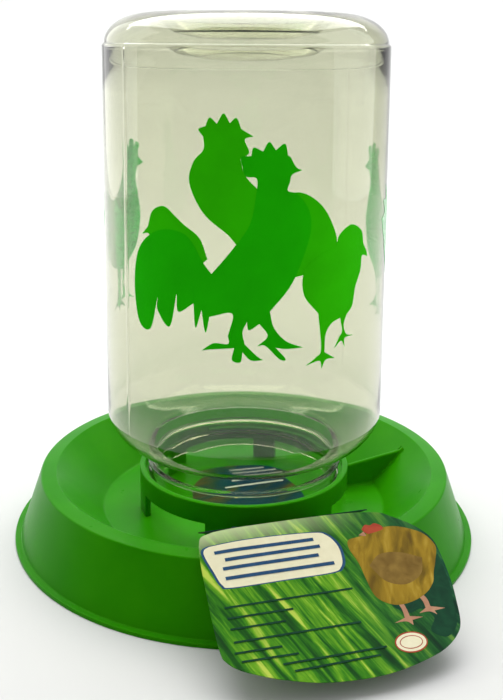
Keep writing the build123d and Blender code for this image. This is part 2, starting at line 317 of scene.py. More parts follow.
class Look:
    """A new material: its shader, and short ways to add the nodes that feed it."""

    def __init__(self, name):
        self.material = bpy.data.materials.new(name)
        self.material.use_nodes = True
        self.tree = self.material.node_tree
        self.link = self.tree.links.new
        self.shader = self.tree.nodes["Principled BSDF"]

    def add(self, kind, **settings):
        """A node with its properties or inputs set; an underscore stands for a space in a name."""
        node = self.tree.nodes.new(kind)
        for key, value in settings.items():
            if hasattr(node, key):
                setattr(node, key, value)
            else:
                node.inputs[key.replace("_", " ")].default_value = value
        return node

    def tune(self, **values):
        """Sets the shader's own inputs, with an underscore for each space."""
        for key, value in values.items():
            self.shader.inputs[key.replace("_", " ")].default_value = value

    def feed(self, name, source):
        """Feeds one of the shader's inputs."""
        self.link(source, self.shader.inputs[name])

    def place(self):
        """The place on the object."""
        return self.add("ShaderNodeTexCoord").outputs["Object"]

    def sheet(self):
        """The place on a card in mm, across and along, wherever the card is laid."""
        return self.add("ShaderNodeUVMap", uv_map="sheet").outputs["UV"]

    def mapping(self, place, **settings):
        """A place turned and stretched."""
        node = self.add("ShaderNodeMapping", **settings)
        self.link(place, node.inputs["Vector"])
        return node.outputs["Vector"]

    def noise(self, place, **settings):
        """Soft noise over a place, from 0 to 1."""
        node = self.add("ShaderNodeTexNoise", **settings)
        self.link(place, node.inputs["Vector"])
        return node.outputs["Fac"]

    def spread(self, value, **limits):
        """A value carried from one range to another."""
        node = self.add("ShaderNodeMapRange", **limits)
        self.link(value, node.inputs["Value"])
        return node.outputs["Result"]

    def ramp(self, value, stops):
        """The colour for a value between (position, colour) stops."""
        node = self.add("ShaderNodeValToRGB")
        elements = node.color_ramp.elements
        while len(elements) < len(stops):
            elements.new(0.5)
        for element, (position, colour) in zip(elements, stops):
            element.position = position
            element.color = (*colour, 1)
        self.link(value, node.inputs["Fac"])
        return node.outputs["Color"]

    def mix(self, share, start, end):
        """A colour that goes from one to another as a share goes from 0 to 1."""
        node = self.add("ShaderNodeMix", data_type="RGBA")
        self.link(share, node.inputs["Factor"])
        self.link(start, node.inputs[MIX_START])
        self.link(end, node.inputs[MIX_END])
        return node.outputs[MIX_COLOUR]

    def bump(self, height, strength, distance):
        """Makes the surface uneven by a height."""
        node = self.add("ShaderNodeBump", Strength=strength, Distance=distance)
        self.link(height, node.inputs["Height"])
        self.feed("Normal", node.outputs["Normal"])


def plastic_green():
    """Glossy moulded green: faint mottling, soft sheen changes and a fine moulded surface."""
    look = Look("plastic_green")
    place = look.place()
    shades = [(0.3, (0.018, 0.232, 0.0004)), (0.7, (0.026, 0.266, 0.0007))]
    look.feed("Base Color", look.ramp(look.noise(place, Scale=38.0, Detail=3.0), shades))
    sheen = look.noise(place, Scale=90.0, Detail=4.0)
    look.feed("Roughness", look.spread(sheen, To_Min=0.24, To_Max=0.36))
    look.bump(look.noise(place, Scale=900.0, Detail=2.0), 0.06, 0.0004)
    look.tune(Subsurface_Weight=0.12, Subsurface_Radius=(0.4, 1.0, 0.2), Subsurface_Scale=0.003,
              Specular_IOR_Level=0.08, Specular_Tint=(0.72, 1.0, 0.12, 1))
    return look.material


def clear_plastic():
    """Thin clear plastic with a warm tint and slow vertical waves from blow moulding."""
    look = Look("clear_plastic")
    look.tune(Base_Color=(0.745, 0.757, 0.640, 1), Transmission_Weight=1.0, IOR=1.46)
    place = look.place()
    waves = look.noise(look.mapping(place, Scale=(26.0, 26.0, 5.0)), Scale=1.0, Detail=1.0)
    look.bump(waves, 0.25, 0.0012)
    haze = look.noise(place, Scale=60.0, Detail=3.0)
    look.feed("Roughness", look.spread(haze, To_Min=0.015, To_Max=0.06))
    open_to_lamps(look)
    return look.material


def open_to_lamps(look):
    """Lets lamps shine through the thin wall, so that what is inside is lit as through real plastic."""
    path = look.add("ShaderNodeLightPath")
    film = look.add("ShaderNodeBsdfTransparent", Color=(0.93, 0.93, 0.89, 1))
    mix = look.add("ShaderNodeMixShader")
    look.link(path.outputs["Is Shadow Ray"], mix.inputs["Fac"])
    look.link(look.shader.outputs["BSDF"], mix.inputs[1])
    look.link(film.outputs["BSDF"], mix.inputs[2])
    look.link(mix.outputs["Shader"], look.tree.nodes["Material Output"].inputs["Surface"])


def ink_green(name, colour, cover=1.0, glow=0.0):
    """Screen-printed ink: a little uneven and satin, with light through it where it is thin."""
    look = Look(name)
    place = look.place()
    stops = [(0.3, tuple(channel * INK_DARKEST for channel in colour)), (0.7, colour)]
    look.feed("Base Color", look.ramp(look.noise(place, Scale=45.0, Detail=5.0), stops))
    screen = look.noise(place, Scale=700.0)
    look.feed("Roughness", look.spread(screen, To_Min=0.22, To_Max=0.34))
    look.tune(Specular_IOR_Level=0.15, Alpha=cover, Transmission_Weight=glow, IOR=INK_IOR)
    return look.material


def paper(look):
    """Gives a material the low sheen and fine grain of coated card."""
    look.bump(look.noise(look.place(), Scale=1500.0, Detail=2.0), 0.05, 0.0002)
    look.tune(Roughness=0.42, Specular_IOR_Level=0.07)


def coated_card(name, stops, streak=(5.0, 5.0), turn=0.0):
    """Coated card printed with blurred streaks of colour, each of a width and a length in mm."""
    look = Look(name)
    lay = look.mapping(look.sheet(), vector_type="TEXTURE", Rotation=(0, 0, turn), Scale=(*streak, 1))
    streaks = look.noise(lay, Scale=1.0, Detail=5.0, Distortion=0.6)
    look.feed("Base Color", look.ramp(streaks, stops))
    paper(look)
    return look.material


# ---------------------------------------------------------------- tray

def tray_profile():
    """The tray's even-walled section: from the floor's middle out over the rim, and back underneath."""
    slope = math.atan2(RIM_TOP - FLOOR_TOP, RIM_INNER_RADIUS - FLOOR_RADIUS)
    rim_low = RIM_TOP - RIM_DROP
    under_rim = rim_low - WALL
    wall_shift = WALL * math.tan(slope / 2)
    across = WALL / math.sin(slope)
    wall_top = RIM_INNER_RADIUS + across - (RIM_TOP - under_rim) / math.tan(slope)
    lean = (SKIRT_FOOT_RADIUS - RIM_OUTER_RADIUS) / (rim_low - FLANGE_TOP)
    skin = WALL * math.hypot(1, lean)
    skirt_top = RIM_OUTER_RADIUS + lean * WALL - skin
    skirt_foot = SKIRT_FOOT_RADIUS + lean * FLANGE_TOP - skin
    return rounded([
        (0, FLOOR_TOP, 0),
        (FLOOR_RADIUS, FLOOR_TOP, 3 * MM),
        (RIM_INNER_RADIUS, RIM_TOP, 0.9 * MM),
        (RIM_OUTER_RADIUS, rim_low, 1.3 * MM),
        (SKIRT_FOOT_RADIUS, FLANGE_TOP, 0.8 * MM),
        (FLANGE_RADIUS, FLANGE_TOP, 0.5 * MM),
        (FLANGE_RADIUS, 0, 0.2 * MM),
        (skirt_foot, 0, 0.2 * MM),
        (skirt_top, under_rim, 0.6 * MM),
        (wall_top, under_rim, 0.4 * MM),
        (FLOOR_RADIUS + wall_shift, FLOOR_UNDER, 1 * MM),
        (0, FLOOR_UNDER, 0),
    ])


def tray_shell(material):
    """Floor, trough wall, rim, skirt and flange as the one moulding that they are."""
    vertices, faces = lathe_mesh(tray_profile(), even_angles(240))
    piece = new_mesh("tray_shell", vertices, faces, material, 30)
    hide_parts("trough_floor", "trough_wall", "top_rim", "outer_skirt", "foot_flange")
    return piece


def collar_angles():
    """Angles round the collar: each post's, then those of the window after it."""
    pitch = math.tau / POST_COUNT
    window = pitch - POST_SPAN
    angles = []
    for post in range(POST_COUNT):
        start = FIRST_POST + pitch * post - POST_SPAN / 2
        angles += [start + POST_SPAN * step / POST_STEPS for step in range(POST_STEPS)]
        angles += [start + POST_SPAN + window * step / WINDOW_STEPS for step in range(WINDOW_STEPS)]
    return angles


def collar_faces(count):
    """Faces over columns of six vertices: outer and inner, at the floor, the windows' top and the top."""
    faces = []
    for number in range(count):
        here = number * 6
        after = (number + 1) % count * 6
        step = number % (POST_STEPS + WINDOW_STEPS)
        faces.append((here + 2, after + 2, after + 4, here + 4))
        faces.append((here + 3, here + 5, after + 5, after + 3))
        faces.append((here + 4, after + 4, after + 5, here + 5))
        if step < POST_STEPS:
            faces.append((here, after, after + 2, here + 2))
            faces.append((here + 1, here + 3, after + 3, after + 1))
            faces.append((here, here + 1, after + 1, after))
        else:
            faces.append((here + 2, here + 3, after + 3, after + 2))
        if step == 0:
            faces.append((here, here + 2, here + 3, here + 1))
        if step == POST_STEPS:
            faces.append((here, here + 1, here + 3, here + 2))
    return faces


def collar(material):
    """The upright collar with its six windows, edges rounded."""
    angles = collar_angles()
    radii = COLLAR_RADIUS, COLLAR_RADIUS - COLLAR_WALL
    heights = FLOOR_TOP - EMBED, WINDOW_TOP, COLLAR_TOP
    vertices = [(r * math.cos(a), r * math.sin(a), z) for a in angles for z in heights for r in radii]
    piece = new_mesh("feed_collar_moulding", vertices, collar_faces(len(angles)), material, 30)
    edge = piece.modifiers.new("edges", "BEVEL")
    edge.width = 0.7 * MM
    edge.segments = 3
    edge.limit_method = "ANGLE"
    edge.angle_limit = math.radians(40)
    apply_modifiers(piece)
    finish_mesh(piece)
    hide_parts("feed_collar", "collar_posts")
    return piece


def fin_section(ground, top_height):
    """The fin's section as (side, height): a flared root on each side and a round top."""
    half = FIN_THICKNESS / 2
    flare = [(half * 2, ground), (half * 1.35, ground + half * 0.5), (half, ground + half * 1.3)]
    round_top = []
    for step in range(9):
        turn = math.pi * step / 8
        round_top.append((-half * math.cos(turn), top_height - half + half * math.sin(turn)))
    return [(-side, height) for side, height in flare] + round_top + flare[::-1]


def fin(material):
    """The divider fin, from inside the collar's wall to the trough's wall."""
    wall_slope = (RIM_TOP - FLOOR_TOP) / (RIM_INNER_RADIUS - FLOOR_RADIUS)
    inner = COLLAR_RADIUS - 1 * MM
    stations = 24
    vertices = []
    rows = []
    for station in range(stations + 1):
        share = station / stations
        along = inner + (FIN_OUTER_RADIUS - inner) * share
        ground = max(FLOOR_TOP, FLOOR_TOP + (along - FLOOR_RADIUS) * wall_slope) - EMBED
        top_height = FIN_INNER_TOP + (FIN_OUTER_TOP - FIN_INNER_TOP) * share
        if station == stations:
            top_height = ground + FIN_NOSE
        section = fin_section(ground, top_height)
        rows.append(range(len(vertices), len(vertices) + len(section)))
        vertices += [(along, side, height) for side, height in section]
    faces = []
    for low, high in zip(rows, rows[1:]):
        for number in range(len(low)):
            after = (number + 1) % len(low)
            faces.append((low[number], low[after], high[after], high[number]))
    faces.append(tuple(rows[0]))
    faces.append(tuple(reversed(rows[-1])))
    piece = new_mesh("divider_fin_moulding", vertices, faces, material, 40)
    piece.data.transform(Matrix.Rotation(FIRST_POST, 4, "Z"))
    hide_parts("divider_fin")
    return piece


def tray(material):
    """Every tray piece, riding on the tray's body; the hidden CAD parts get the same green."""
    for piece in (tray_shell(material), collar(material), fin(material)):
        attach(piece, "tray")
    for node in "water_collar", "water_collar_thread", "collar_thread":
        frame["nodes"][node].data.materials.clear()
        frame["nodes"][node].data.materials.append(material)


# ---------------------------------------------------------------- jar

def shoulder(inset):
    """The shoulder's outline from the straight wall to the neck."""
    steps = 22
    points = []
    for step in range(steps):
        angle = math.pi / 2 * step / steps
        wide = (JAR_RADIUS - SHOULDER_FLOOR_RADIUS) * math.cos(angle) ** SHOULDER_POWER
        deep = (SHOULDER_TOP - SHOULDER_FOOT) * math.sin(angle) ** SHOULDER_POWER
        radius = SHOULDER_FLOOR_RADIUS + wide - inset * math.cos(angle)
        if radius > NECK_RADIUS + NECK_FILLET:
            points.append((radius, SHOULDER_TOP - deep + inset * math.sin(angle)))
    return points


def heel(inset):
    """The heel's quarter ellipse from the seam to the standing ring."""
    steps = 18
    points = []
    for step in range(steps):
        angle = math.pi / 2 * step / steps
        radius = STANDING_RADIUS + (HEEL_RADIUS - STANDING_RADIUS - inset) * math.cos(angle)
        points.append((radius, HEEL_SEAM + (JAR_TOP - HEEL_SEAM - inset) * math.sin(angle)))
    return points


def recess(inset):
    """The pushed-in bottom, from the standing ring to the middle."""
    low = RECESS_LOW + RECESS_LIFT
    return rounded([
        (STANDING_RADIUS + 0.1 * MM, JAR_TOP - inset, 0),
        (STANDING_RADIUS - 2 * MM, JAR_TOP - inset, 2 * MM),
        (38 * MM, low + 4.5 * MM - inset, 3 * MM),
        (24 * MM, low + 1.2 * MM - inset, 8 * MM),
        (0, low - inset, 0),
    ])


def jar_outside():
    """The jar's outer outline from the bottom's middle down to the mouth."""
    points = recess(0)[::-1] + heel(0)[::-1]
    wall_top = HEEL_SEAM - SEAM_DEPTH
    points += [
        (HEEL_RADIUS + 0.1 * MM, HEEL_SEAM - 0.1 * MM),
        (JAR_RADIUS - 0.4 * MM, HEEL_SEAM - 0.5 * MM),
        (JAR_RADIUS - 0.05 * MM, HEEL_SEAM - 1.0 * MM),
        (JAR_RADIUS, wall_top),
    ]
    rows = 24
    row_height = (wall_top - SHOULDER_TOP) / rows
    points += [(JAR_RADIUS, wall_top - row_height * row) for row in range(1, rows)]
    points += shoulder(0)
    points.append((NECK_RADIUS + 0.7 * MM, SHOULDER_FOOT + 0.05 * MM))
    neck_rows = 90
    neck_top = SHOULDER_FOOT - 0.7 * MM
    neck_step = (MOUTH_HEIGHT + 1 * MM - neck_top) / neck_rows
    points += [(NECK_RADIUS, neck_top + neck_step * row) for row in range(neck_rows + 1)]
    return points


def jar_inside():
    """The jar's inner outline from the shoulder back up to the bottom's middle."""
    rows = 8
    row_height = (HEEL_SEAM - SEAM_DEPTH - SHOULDER_TOP) / rows
    points = shoulder(JAR_WALL)[::-1]
    points += [(JAR_RADIUS - JAR_WALL, SHOULDER_TOP + row_height * row) for row in range(1, rows + 1)]
    return points + heel(BOTTOM_WALL) + recess(BOTTOM_WALL)


def jar_profile():
    """The jar's closed section: down the outside, round the mouth and up the inside."""
    mouth = rounded([
        (NECK_RADIUS, MOUTH_HEIGHT + 0.9 * MM, 0),
        (NECK_RADIUS - 0.4 * MM, MOUTH_HEIGHT, 0.4 * MM),
        (NECK_RADIUS - NECK_WALL, MOUTH_HEIGHT, 0.4 * MM),
        (NECK_RADIUS - NECK_WALL, SHOULDER_FOOT, 0),
    ])
    return jar_outside() + mouth + jar_inside()


def thread_height(angle, height):
    """How far the jar's thread stands out of the neck at a place."""
    first_crest = THREAD_FOOT + THREAD_CREST
    turned = (angle - THREAD_START_ANGLE) % math.tau / math.tau
    stand = 0
    for lap in range(2):
        turns = turned + lap
        start_fade = turns / THREAD_FADE if lap == 0 else 1
        fade = min(1, max(0, (THREAD_TURNS - turns) / THREAD_FADE), start_fade)
        off = abs(height - first_crest - turns * THREAD_PITCH) / THREAD_HALF_WIDTH
        if off < 1:
            stand = max(stand, fade * (THREAD_RADIUS - NECK_RADIUS) * (1 - off ** 2) ** THREAD_ROUNDNESS)
    return stand


def bead_height(height):
    """How far the ring round the neck stands out."""
    off = abs(height - BEAD_HEIGHT) / BEAD_HALF_WIDTH
    return (BEAD_RADIUS - NECK_RADIUS) * (1 - off ** 2) ** BEAD_ROUNDNESS if off < 1 else 0


def jar_surface(angle, radius, height):
    """What stands out of the jar's turned shape: thread, bead and the mould's parting lines."""
    stand = 0
    if abs(radius - NECK_RADIUS) < NEAR and height < SHOULDER_FOOT - 1 * MM:
        stand += thread_height(angle, height) + bead_height(height)
    on_wall = abs(radius - JAR_RADIUS) < NEAR
    if on_wall and min(abs(angle - line) for line in PARTING_ANGLES) < PARTING_HALF_WIDTH:
        stand += PARTING_STAND
    return stand


def jar_angles():
    """Even angles with three close ones at each parting line."""
    angles = even_angles(224)
    for line in PARTING_ANGLES:
        angles = [angle for angle in angles if abs(angle - line) > 2 * PARTING_SIDE]
        angles += [line - PARTING_SIDE, line, line + PARTING_SIDE]
    return sorted(angles)


def jar(material):
    """The jar as one clear shell with a real inside and outside."""
    vertices, faces = lathe_mesh(jar_profile(), jar_angles(), jar_surface)
    piece = new_mesh("jar_shell", vertices, faces, material, 50)
    replaced = frame["record"]["behaviour"]["bodies"]["jar"]
    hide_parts(*replaced, "jar_mouth_lip")
    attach(piece, "jar")


# ---------------------------------------------------------------- prints

# Each outline is a list of strokes in mm: smooth along a stroke, with a corner where two meet.
# The prints on the jar are given as (across, height).

ROOSTER_RIGHT = [
    [(-8, 131), (-6, 142), (-17, 140)],
    [(-17, 140), (-19, 132), (-21, 143)],
    [(-21, 143), (-24, 134), (-25, 146)],
    [(-25, 146), (-33, 141), (-34, 150)],
    [(-34, 150), (-38, 133), (-45, 140), (-45, 147)],
    [(-45, 147), (-50, 130), (-58, 133), (-61, 152), (-57, 170), (-44, 180), (-29, 179), (-20, 166),
     (-16, 161)],
    [(-16, 161), (-7, 172), (2, 185), (5, 200), (5, 207), (0, 208), (-2, 214)],
    [(-2, 214), (-2, 217), (2.5, 217.5)],
    [(2.5, 217.5), (3.6, 221.4), (8, 219.6)],
    [(8, 219.6), (10.8, 224), (14, 220.2)],
    [(14, 220.2), (18.4, 223), (20, 216.5)],
    [(21, 217), (24, 212), (27, 210.5)],
    [(27, 210.5), (22, 208.5), (21, 205)],
    [(21, 205), (20, 201), (25, 199), (31, 191), (32, 181), (28, 168), (22, 155), (12, 143)],
    [(12, 143), (14, 135), (20, 128), (29, 124)],
    [(29, 124), (20, 124), (15, 125)],
    [(15, 125), (20, 119), (17, 119), (10, 126), (6, 126)],
    [(6, 126), (11, 131), (7, 137)],
    [(7, 137), (2, 134), (1, 138)],
    [(1, 138), (-1, 133), (0, 127)],
    [(0, 127), (6, 121), (9, 119)],
    [(9, 119), (3, 119), (-1, 123)],
    [(-1, 123), (-2, 118), (-6, 119), (-5, 125)],
    [(-5, 125), (-15, 124), (-21, 123)],
    [(-21, 123), (-15, 127), (-8, 127), (-8, 131)],
]

ROOSTER_LEFT = [
    [(-8, 180), (-20, 190), (-27, 204), (-25, 214), (-20, 220), (-20, 226)],
    [(-20, 226), (-22.4, 229.4), (-19, 231)],
    [(-19, 231), (-17, 235), (-13.5, 232.2)],
    [(-13.5, 232.2), (-10.4, 237), (-7.5, 232.6)],
    [(-7.5, 232.6), (-4.4, 235), (-2.2, 230)],
    [(-2.2, 230), (3.5, 226.5)],
    [(3.5, 226.5), (-0.5, 225), (1.5, 219), (-2.5, 216)],
    [(-2.5, 216), (0, 208), (8, 200), (14, 197)],
    [(14, 197), (26, 200), (38, 193), (46, 180), (47, 171), (42, 162)],
    [(42, 162), (30, 160), (10, 160), (-8, 180)],
]

CHICK_RIGHT = [
    [(37, 140), (29, 150), (29, 162), (37, 169), (46, 172), (49, 178), (57, 182), (65, 178), (67, 171)],
    [(67, 171), (70, 167), (71, 164)],
    [(71, 164), (66, 165), (65, 158), (61, 150), (59, 141), (55, 137)],
    [(55, 137), (53, 132), (55, 127), (60, 125.5)],
    [(60, 125.5), (54, 125), (54, 120.5)],
    [(54, 120.5), (51.5, 124), (47, 121)],
    [(47, 121), (50, 126), (52, 129), (50.5, 136)],
    [(50.5, 136), (45, 134), (41.5, 129), (41, 120)],
    [(41, 120), (45, 117.5), (47.5, 116)],
    [(47.5, 116), (42, 116), (39.5, 112)],
    [(39.5, 112), (38, 116), (30.5, 114.5)],
    [(30.5, 114.5), (36, 118), (39, 122), (37, 140)],
]

CHICK_LEFT = [
    [(-18, 168), (-22, 178), (-30, 184), (-35, 188), (-41, 192), (-48, 189), (-51, 181)],
    [(-51, 181), (-55, 177)],
    [(-55, 177), (-50, 177), (-48, 166), (-40, 160), (-28, 160), (-18, 168)],
]

HEN = [
    [(2, 132), (7, 142), (17, 152), (21, 168), (19, 182), (17, 192), (19, 198)],
    [(19, 198), (24, 200)],
    [(24, 200), (20, 203.5), (19.5, 207)],
    [(19.5, 207), (20.5, 211), (17.5, 212.5), (16, 209.5)],
    [(16, 209.5), (15, 214), (11.5, 214), (11, 209.5)],
    [(11, 209.5), (8, 212.5), (5.5, 209.5), (7, 206)],
    [(7, 206), (4, 198), (0, 189), (-9, 182), (-20, 187), (-31, 197)],
    [(-31, 197), (-30, 190), (-37, 190)],
    [(-37, 190), (-33, 183), (-39, 180)],
    [(-39, 180), (-33, 168), (-26, 155), (-14, 145), (-6, 142)],
    [(-6, 142), (-5, 133), (-6, 124)],
    [(-6, 124), (-12, 118.5)],
    [(-12, 118.5), (-5.5, 120), (-3, 116)],
    [(-3, 116), (-1.5, 119.8), (5, 117)],
    [(5, 117), (0, 122.5), (-1.5, 128), (-1, 140)],
    [(-1, 140), (1.5, 140), (1, 131), (2, 126)],
    [(2, 126), (-2, 122)],
    [(-2, 122), (4, 123), (6, 119)],
    [(6, 119), (7.5, 122.6), (14, 120.6)],
    [(14, 120.6), (8, 125), (5, 128), (2, 132)],
]


def mirrored(strokes):
    """The same outline facing the other way."""
    return [[(-x, z) for x, z in stroke] for stroke in strokes]


def print_on_jar(name, strokes, middle, lift, material):
    """A flat outline cut into narrow upright strips and laid on the jar's wall as a thin film."""
    film = bmesh.new()
    fill_outline(film, [(point.x * MM, 0, point.y * MM) for point in smooth_outline(strokes)])
    low, high = extent(film, 0)
    cut_sheet(film, 0, [low + STRIP * number for number in range(1, int((high - low) / STRIP) + 1)])
    out = JAR_RADIUS + lift
    for vertex in film.verts:
        angle = middle + vertex.co.x / JAR_RADIUS
        vertex.co = (out * math.cos(angle), out * math.sin(angle), vertex.co.z)
    piece = thickened(name, film, material, INK_FILM, 0)
    finish_mesh(piece, 60)
    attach(piece, "jar")


def prints():
    """The poultry silhouettes: one group on the front and a hen each side of the back."""
    front = math.radians(-90)
    bright = ink_green("ink_bright", (0.034, 0.600, 0.001))
    deep = ink_green("ink_deep", (0.014, 0.540, 0.001))
    thin = ink_green("ink_thin", (0.050, 0.780, 0.130), 0.85, 0.7)
    print_on_jar("print_rooster_back", ROOSTER_LEFT, front, UNDER_PRINT, bright)
    print_on_jar("print_chick_left", CHICK_LEFT, front, UNDER_PRINT, bright)
    print_on_jar("print_rooster_front", ROOSTER_RIGHT, front, OVER_PRINT, deep)
    print_on_jar("print_chick_right", CHICK_RIGHT, front, OVER_PRINT, bright)
    print_on_jar("print_hen_left", mirrored(HEN), front - math.radians(109), UNDER_PRINT, thin)
    print_on_jar("print_hen_right", HEN, front + math.radians(97), UNDER_PRINT, thin)


# ---------------------------------------------------------------- card

def card_point(out, across, height):
    """A place from how far out along the card it is from the tray's middle, how far across and how high."""
    out_way = Vector((math.cos(CARD_DIRECTION), math.sin(CARD_DIRECTION), 0))
    across_way = Vector((-math.sin(CARD_DIRECTION), math.cos(CARD_DIRECTION), 0))
    return out_way * out + across_way * across + Vector((0, 0, height))


def flap_point(across, along, lift=0.0):
    """A place on the flap: across it, down it from the fold, and above its surface."""
    sag = FLAP_SAG * math.sin(math.pi * min(1, along / FLAP_LENGTH))
    corner = max(0.0, -across - CORNER_START) / CORNER_REACH
    droop = CORNER_DROOP * corner ** 2 * math.exp(-along / CORNER_FADE)
    out = FOLD_DISTANCE + along * math.cos(FLAP_SLOPE) - (sag - lift) * math.sin(FLAP_SLOPE)
    height = FOLD_HEIGHT - along * math.sin(FLAP_SLOPE) - (sag - lift) * math.cos(FLAP_SLOPE) - droop
    return card_point(out, across, height)


def leg_point(across, along, lift=0.0):
    """A place on the sloping stretch: how far out from its foot, sagging a little towards the fold."""
    foot_height = FLOOR_TOP + 2 * CARD_THICKNESS
    share = along / (FOLD_DISTANCE - TONGUE_FOOT)
    sag = LEG_SAG * math.sin(math.pi * share) * share
    height = foot_height + (FOLD_HEIGHT - foot_height) * share - sag
    return card_point(TONGUE_FOOT + along, across, height + lift)


def head_point(across, along, lift=0.0):
    """A place on the card's round end, which lies flat on the tray's floor."""
    return card_point(along, across, FLOOR_TOP + CARD_THICKNESS + lift)


def card_piece(name, outline, place, material, lift=0.0, thickness=CARD_THICKNESS, cells=40):
    """An outline of (across, along) strokes, cut into a grid, laid by place() and thickened downwards."""
    flat = bmesh.new()
    fill_outline(flat, [(point.x * MM, point.y * MM, 0) for point in smooth_outline(outline)])
    for axis in 0, 1:
        low, high = extent(flat, axis)
        cut_sheet(flat, axis, [low + (high - low) * number / cells for number in range(1, cells)])
    sheet = flat.loops.layers.uv.new("sheet")
    for face in flat.faces:
        for corner in face.loops:
            corner[sheet].uv = (corner.vert.co.x / MM, corner.vert.co.y / MM)
    for vertex in flat.verts:
        vertex.co = place(vertex.co.x, vertex.co.y, lift)
    bmesh.ops.recalc_face_normals(flat, faces=flat.faces)
    if sum(face.normal.z * face.calc_area() for face in flat.faces) < 0:
        bmesh.ops.reverse_faces(flat, faces=flat.faces)
    piece = thickened(name, flat, material, thickness, -1)
    smooth_shading(piece, 50)
    return piece


# The card's outlines are strokes in mm too, as (across, along): along is measured from the fold down
# the flap, from the leg's foot up the leg, and from the tray's middle out along the head.

FLAP = [
    [(-52, 6), (-50, 1.5), (-44, 0.3)],
    [(-44, 0.3), (10, 0.3), (36, 2.2), (45, 6.3), (53.5, 12.3), (59.6, 20), (60.8, 29), (59.8, 44),
     (57.8, 54.5), (55, 64.5), (50.8, 70), (43.5, 74.7), (34, 77.9), (18.5, 81), (4, 81.7), (-13, 80.4),
     (-25, 77.7), (-37, 73.7), (-48.5, 68.2), (-53.5, 63.5), (-54.8, 59), (-54.8, 44), (-54, 27),
     (-53.2, 14), (-52, 6)],
]
HEAD = [
    [(-26, 10), (-26.5, -12), (-20, -30), (-5, -37.5), (10, -37.5), (26, -31), (34.5, -12), (34.5, 8),
     (28, 22)],
    [(28, 22), (20, 27)],
    [(20, 27), (20, 42.5)],
    [(20, 42.5), (-20, 42.5)],
    [(-20, 42.5), (-20, 22)],
    [(-20, 22), (-26, 10)],
]
LEG = [
    [(-20, 0), (-20, 23)],
    [(-20, 23), (-51, 51.7)],
    [(-51, 51.7), (34, 51.7)],
    [(34, 51.7), (20, 23)],
    [(20, 23), (20, 0)],
    [(20, 0), (-20, 0)],
]
PANEL = [
    [(-48, 7.6), (-23, 7.3), (3, 8.6), (9.5, 11), (13, 17), (13, 24), (11, 28.5), (6, 30.6), (-15, 30.6),
     (-42, 30.4), (-46.6, 28.4), (-48.8, 21.7), (-51.2, 12.3), (-50.6, 8.8), (-48, 7.6)],
]
# Each bar that stands in for a line of print: (left, how far along, right, how far along).
PANEL_RULES = (-46, 10.8, 2, 11.4), (-42, 15.2, 4, 15.4), (-44, 19.6, 2, 19.8), (-44, 24.6, 8, 25.0)
HEAD_RULES = (0, -31, 22, -31), (0, -25, 28, -25), (-6, -18, 30, -18), (-4, -5, 33, -5)
GRASS_RULES = [(-48, 39.0, 12, 39.4), (-48, 44.2, -18, 44.5), (-48, 49.4, -23, 49.6), (-48, 55.5, 10, 56.0),
               (-49, 60.4, -28, 60.8), (-47, 64.6, -22, 65.2), (-30, 68.8, 17, 69.2), (-26, 72.6, 13, 72.4)]

HEN_BODY = [
    [(37, 11), (44, 11.5), (51, 14), (57, 18), (60, 25), (57, 32), (53.5, 38), (51, 43), (46, 47.5),
     (39, 50.5), (31, 51.5), (25, 49.5), (21, 45), (20, 37), (19.5, 28), (17.5, 20), (18.5, 15.5),
     (23, 14.5), (28, 14)],
    [(28, 14), (31, 11.5), (37, 11)],
]
HEN_COMB = [
    [(27, 10.8), (29.5, 8.6), (32, 9.2), (34.5, 8.4), (37.5, 10.2), (37.5, 12.2), (33, 13.2), (29, 13.4),
     (27, 10.8)],
]
HEN_BEAK = [
    [(27.6, 12), (24.6, 13.6)],
    [(24.6, 13.6), (28, 14.4), (27.6, 12)],
]
HEN_WING = [
    [(24, 30), (31, 25), (41, 25.5), (51, 30)],
    [(51, 30), (47, 38), (38, 42), (29, 39), (24, 30)],
]
HEN_LEGS = [
    [(30, 50), (30.8, 54), (30.5, 58)],
    [(30.5, 58), (25, 59.6)],
    [(25, 59.6), (30.5, 59.8), (33, 62)],
    [(33, 62), (33.5, 59.6)],
    [(33.5, 59.6), (39, 59)],
    [(39, 59), (33, 57.6)],
    [(33, 57.6), (33, 54), (32.4, 50)],
    [(32.4, 50), (40.5, 48)],
    [(40.5, 48), (42, 51.5), (42, 55)],
    [(42, 55), (38, 57)],
    [(38, 57), (43, 57), (46, 59)],
    [(46, 59), (45.5, 57)],
    [(45.5, 57), (51, 56.6)],
    [(51, 56.6), (44.5, 54.6)],
    [(44.5, 54.6), (44.5, 51), (43, 47)],
    [(43, 47), (36, 45), (30, 50)],
]
SHADE = [
    [(59.5, 29), (58.6, 44), (56, 55), (53, 65), (46, 70), (40, 66), (44, 60), (40, 55), (33, 56),
     (27, 50), (36, 44), (50, 42), (54, 34), (59.5, 29)],
]


def rule_outline(thick, left, left_down, right, right_down):
    """A slanting bar as one closed straight-sided outline."""
    corners = (left, left_down), (right, right_down), (right, right_down + thick), (left, left_down + thick)
    return [[corners[n], corners[(n + 1) % 4]] for n in range(4)]


def ellipse(middle, wide, deep):
    """An ellipse as one closed stroke."""
    turns = 16
    x, y = middle
    return [[(x + wide * math.cos(math.tau * n / turns), y + deep * math.sin(math.tau * n / turns))
             for n in range(turns + 1)]]


def grown(strokes, amount):
    """An outline moved outwards from its middle by a share."""
    points = [Vector(point) for stroke in strokes for point in stroke]
    middle = sum(points, Vector((0, 0))) / len(points)
    return [[tuple(middle + (Vector(point) - middle) * amount) for point in stroke] for stroke in strokes]


def plain_print(name, dark, light):
    """Printed colour that wanders a little between two shades."""
    return coated_card(name, [(0.3, dark), (0.7, light)])


